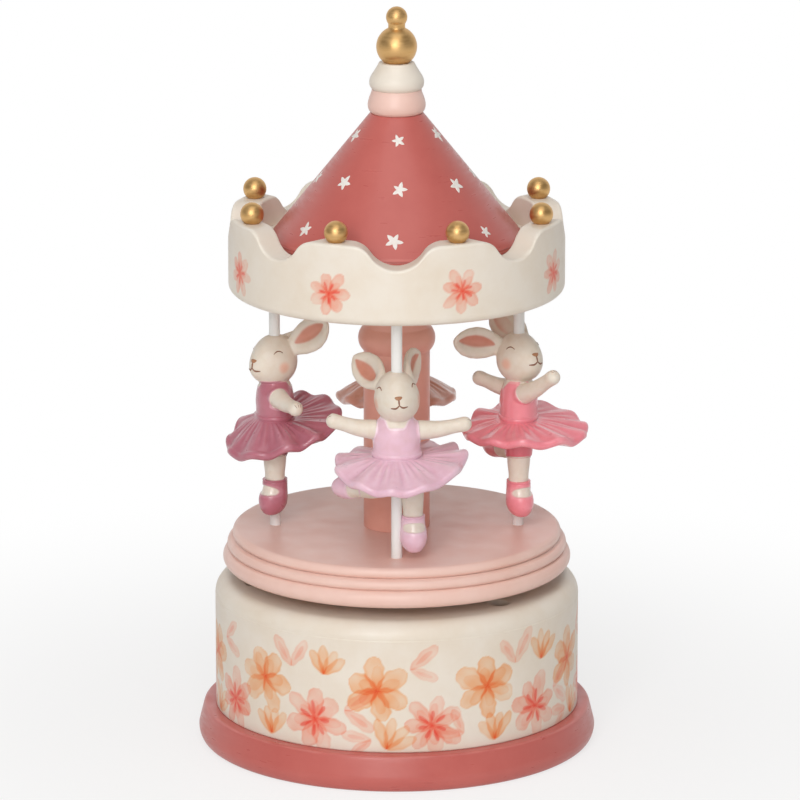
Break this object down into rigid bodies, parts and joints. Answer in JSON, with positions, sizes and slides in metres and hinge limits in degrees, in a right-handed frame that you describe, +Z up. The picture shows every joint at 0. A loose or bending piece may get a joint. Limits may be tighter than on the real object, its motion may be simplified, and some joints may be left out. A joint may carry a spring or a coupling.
{
  "type": "carousel music box",
  "caption": "Wooden music box: a round case holds a spring movement, and a canopied carousel of rabbit dancers turns on top as the tune plays.",
  "frame": {"origin": "centre of the plinth's underside", "axes": "+Z up along the spindle; -Y is the front, towards the viewer; +X to the viewer's right"},
  "size_m": [0.1102, 0.1102, 0.2053],
  "materials": {
    "rose_paint": "dusty rose satin paint on turned wood",
    "cream_paint": "cream satin paint on turned wood with painted flowers",
    "pale_pink_paint": "pale pink satin paint on turned wood",
    "salmon_paint": "salmon satin paint on turned wood",
    "gold_paint": "brushed gold paint on wooden balls",
    "white_paint": "white satin paint on wooden rod",
    "bare_wood": "bare beech dowel",
    "brass": "plain brass",
    "steel": "plain steel",
    "zinc": "bright die-cast zinc alloy",
    "fly_plastic": "natural acetal",
    "dancer_lilac": "cast resin, glossy painted lilac-pink dress",
    "dancer_coral": "cast resin, glossy painted coral dress",
    "dancer_peach": "cast resin, glossy painted peach-rose dress",
    "dancer_plum": "cast resin, glossy painted plum dress"
  },
  "bodies": {
    "base": {"plinth": "rose_paint", "drum": "cream_paint", "spindle_bush": "brass", "movement_screws": "brass", "bedplate": "zinc", "spring_housing": "steel", "mainspring": "steel", "comb": "steel", "comb_screws": "steel", "governor_bracket": "steel"},
    "carousel": {"spindle": "steel", "drive_wheel": "brass", "platform": "pale_pink_paint", "center_column": "salmon_paint", "canopy_board": "cream_paint", "crown_ring": "cream_paint", "roof_cone": "rose_paint", "finial_collar": "pale_pink_paint", "finial_bell": "cream_paint", "finial_knob": "gold_paint", "finial_pin": "bare_wood", "crown_bead_1": "gold_paint", "crown_bead_2": "gold_paint", "crown_bead_3": "gold_paint", "crown_bead_4": "gold_paint", "crown_bead_5": "gold_paint", "crown_bead_6": "gold_paint", "crown_bead_7": "gold_paint", "crown_bead_8": "gold_paint", "pole_front": "white_paint", "pole_right": "white_paint", "pole_back": "white_paint", "pole_left": "white_paint", "dancer_front": "dancer_lilac", "dancer_right": "dancer_coral", "dancer_back": "dancer_peach", "dancer_left": "dancer_plum"},
    "cylinder": {"pinned_cylinder": "brass", "cylinder_shaft": "steel", "cylinder_pinion": "brass", "cylinder_wheel": "brass"},
    "governor": {"governor_shaft": "steel", "worm_wheel": "brass"},
    "fly": {"worm_spindle": "steel", "fly_vanes": "fly_plastic"}
  },
  "joints": [
    {"name": "carousel_turn", "type": "hinge", "parent": "base", "child": "carousel", "pos_m": [0, 0, 0.048], "axis": [0, 0, 1], "continuous": true},
    {"name": "cylinder_turn", "type": "hinge", "parent": "base", "child": "cylinder", "pos_m": [0.0177, 0, 0.02722], "axis": [1, 0, 0], "continuous": true},
    {"name": "governor_turn", "type": "hinge", "parent": "base", "child": "governor", "pos_m": [0.02972, 0.0096, 0.02722], "axis": [1, 0, 0], "continuous": true},
    {"name": "fly_turn", "type": "hinge", "parent": "base", "child": "fly", "pos_m": [0.03322, 0.01615, 0.02722], "axis": [0, 0, 1], "continuous": true}
  ],
  "couplings": [
    {"joint": "cylinder_turn", "follows": "carousel_turn", "ratio": 2.4545},
    {"joint": "governor_turn", "follows": "carousel_turn", "ratio": -7.3636},
    {"joint": "fly_turn", "follows": "carousel_turn", "ratio": 176.73}
  ]
}
